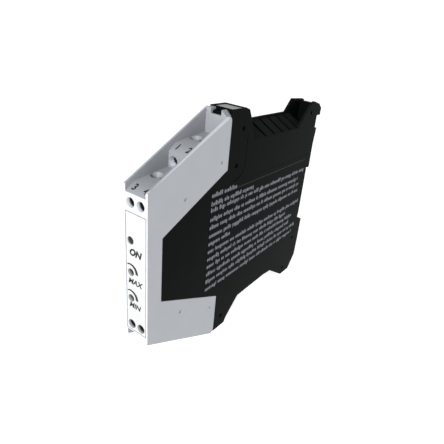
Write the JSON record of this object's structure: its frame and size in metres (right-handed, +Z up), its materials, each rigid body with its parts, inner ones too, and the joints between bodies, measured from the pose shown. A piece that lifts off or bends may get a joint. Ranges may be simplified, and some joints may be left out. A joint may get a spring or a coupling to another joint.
{
  "type": "signal converter",
  "caption": "Slim rail-mounted signal converter: black vented housing, light stepped terminal cover, screw clamps, lamp, two trimmers, sprung rail latch.",
  "frame": {"origin": "centre of the bounding box, at its lowest level", "axes": "+Z up, the front with screws, lamp and trimmers faces -Y, the rail recess faces +Y, X across the narrow width"},
  "size_m": [0.0126, 0.1372, 0.1174],
  "materials": {
    "black_plastic": "fine moulded texture",
    "light_plastic": "smooth satin moulding",
    "white_plastic": "smooth",
    "printed_label": "printed film",
    "board": "solder mask",
    "ferrite": "sintered",
    "copper": "enamelled winding",
    "can_sleeve": "shrunk sleeve",
    "chip_case": "moulded epoxy",
    "lamp_lens": "clear resin, unlit",
    "trimmer_plastic": "moulded",
    "brass": "turned",
    "grey_plastic": "satin moulding",
    "spring_steel": "drawn wire",
    "plated_steel": "zinc plated",
    "tinned_brass": "tinned"
  },
  "bodies": {
    "root": {"base_shell": "black_plastic", "side_cover": "black_plastic", "front_cover": "light_plastic", "front_label": "white_plastic", "marking_plate": "white_plastic", "side_label": "printed_label", "circuit_board": "board", "isolation_transformer": "ferrite", "transformer_winding": "copper", "filter_capacitors": "can_sleeve", "converter_chips": "chip_case", "power_lamp": "lamp_lens", "span_trimmer_body": "trimmer_plastic", "zero_trimmer_body": "trimmer_plastic", "latch_spring": "spring_steel", "contact_bar_1": "tinned_brass", "contact_bar_2": "tinned_brass", "contact_bar_3": "tinned_brass", "contact_bar_4": "tinned_brass", "contact_bar_5": "tinned_brass", "contact_bar_6": "tinned_brass", "contact_bar_7": "tinned_brass", "contact_bar_8": "tinned_brass"},
    "span_rotor": {"span_trimmer_rotor": "brass"},
    "zero_rotor": {"zero_trimmer_rotor": "brass"},
    "latch": {"rail_latch": "grey_plastic"},
    "screw_1": {"terminal_screw_1": "plated_steel"},
    "cage_1": {"clamp_cage_1": "plated_steel"},
    "screw_2": {"terminal_screw_2": "plated_steel"},
    "cage_2": {"clamp_cage_2": "plated_steel"},
    "screw_3": {"terminal_screw_3": "plated_steel"},
    "cage_3": {"clamp_cage_3": "plated_steel"},
    "screw_4": {"terminal_screw_4": "plated_steel"},
    "cage_4": {"clamp_cage_4": "plated_steel"},
    "screw_5": {"terminal_screw_5": "plated_steel"},
    "cage_5": {"clamp_cage_5": "plated_steel"},
    "screw_6": {"terminal_screw_6": "plated_steel"},
    "cage_6": {"clamp_cage_6": "plated_steel"},
    "screw_7": {"terminal_screw_7": "plated_steel"},
    "cage_7": {"clamp_cage_7": "plated_steel"},
    "screw_8": {"terminal_screw_8": "plated_steel"},
    "cage_8": {"clamp_cage_8": "plated_steel"}
  },
  "joints": [
    {"name": "span_turn", "type": "hinge", "parent": "root", "child": "span_rotor", "pos_m": [-0.0029, -0.0663, 0.0564], "axis": [0, 1, 0], "range_deg": [-135, 135]},
    {"name": "zero_turn", "type": "hinge", "parent": "root", "child": "zero_rotor", "pos_m": [-0.0029, -0.0663, 0.0439], "axis": [0, 1, 0], "range_deg": [-135, 135]},
    {"name": "latch_release", "type": "slide", "parent": "root", "child": "latch", "axis": [0, 0, -1], "range_m": [0, 0.003], "stiffness_N_per_m": 1500, "springref_m": -0.001, "deforming": ["latch_spring"]},
    {"name": "screw_1_turn", "type": "hinge", "parent": "root", "child": "screw_1", "pos_m": [-0.00265, -0.0442, 0.098], "axis": [0, 1, 0], "range_deg": [0, 2160]},
    {"name": "cage_1_slide", "type": "slide", "parent": "root", "child": "cage_1", "axis": [0, -1, 0], "range_m": [0, 0.003]},
    {"name": "screw_2_turn", "type": "hinge", "parent": "root", "child": "screw_2", "pos_m": [0.00265, -0.0442, 0.098], "axis": [0, 1, 0], "range_deg": [0, 2160]},
    {"name": "cage_2_slide", "type": "slide", "parent": "root", "child": "cage_2", "axis": [0, -1, 0], "range_m": [0, 0.003]},
    {"name": "screw_3_turn", "type": "hinge", "parent": "root", "child": "screw_3", "pos_m": [-0.00265, -0.0656, 0.0867], "axis": [0, 1, 0], "range_deg": [0, 2160]},
    {"name": "cage_3_slide", "type": "slide", "parent": "root", "child": "cage_3", "axis": [0, -1, 0], "range_m": [0, 0.003]},
    {"name": "screw_4_turn", "type": "hinge", "parent": "root", "child": "screw_4", "pos_m": [0.00265, -0.0656, 0.0867], "axis": [0, 1, 0], "range_deg": [0, 2160]},
    {"name": "cage_4_slide", "type": "slide", "parent": "root", "child": "cage_4", "axis": [0, -1, 0], "range_m": [0, 0.003]},
    {"name": "screw_5_turn", "type": "hinge", "parent": "root", "child": "screw_5", "pos_m": [-0.00265, -0.0656, 0.0307], "axis": [0, 1, 0], "range_deg": [0, 2160]},
    {"name": "cage_5_slide", "type": "slide", "parent": "root", "child": "cage_5", "axis": [0, -1, 0], "range_m": [0, 0.003]},
    {"name": "screw_6_turn", "type": "hinge", "parent": "root", "child": "screw_6", "pos_m": [0.00265, -0.0656, 0.0307], "axis": [0, 1, 0], "range_deg": [0, 2160]},
    {"name": "cage_6_slide", "type": "slide", "parent": "root", "child": "cage_6", "axis": [0, -1, 0], "range_m": [0, 0.003]},
    {"name": "screw_7_turn", "type": "hinge", "parent": "root", "child": "screw_7", "pos_m": [-0.00265, -0.0442, 0.0194], "axis": [0, 1, 0], "range_deg": [0, 2160]},
    {"name": "cage_7_slide", "type": "slide", "parent": "root", "child": "cage_7", "axis": [0, -1, 0], "range_m": [0, 0.003]},
    {"name": "screw_8_turn", "type": "hinge", "parent": "root", "child": "screw_8", "pos_m": [0.00265, -0.0442, 0.0194], "axis": [0, 1, 0], "range_deg": [0, 2160]},
    {"name": "cage_8_slide", "type": "slide", "parent": "root", "child": "cage_8", "axis": [0, -1, 0], "range_m": [0, 0.003]}
  ],
  "couplings": [
    {"joint": "screw_1_turn", "follows": "cage_1_slide", "rad_per_m": 12566},
    {"joint": "screw_2_turn", "follows": "cage_2_slide", "rad_per_m": 12566},
    {"joint": "screw_3_turn", "follows": "cage_3_slide", "rad_per_m": 12566},
    {"joint": "screw_4_turn", "follows": "cage_4_slide", "rad_per_m": 12566},
    {"joint": "screw_5_turn", "follows": "cage_5_slide", "rad_per_m": 12566},
    {"joint": "screw_6_turn", "follows": "cage_6_slide", "rad_per_m": 12566},
    {"joint": "screw_7_turn", "follows": "cage_7_slide", "rad_per_m": 12566},
    {"joint": "screw_8_turn", "follows": "cage_8_slide", "rad_per_m": 12566}
  ]
}
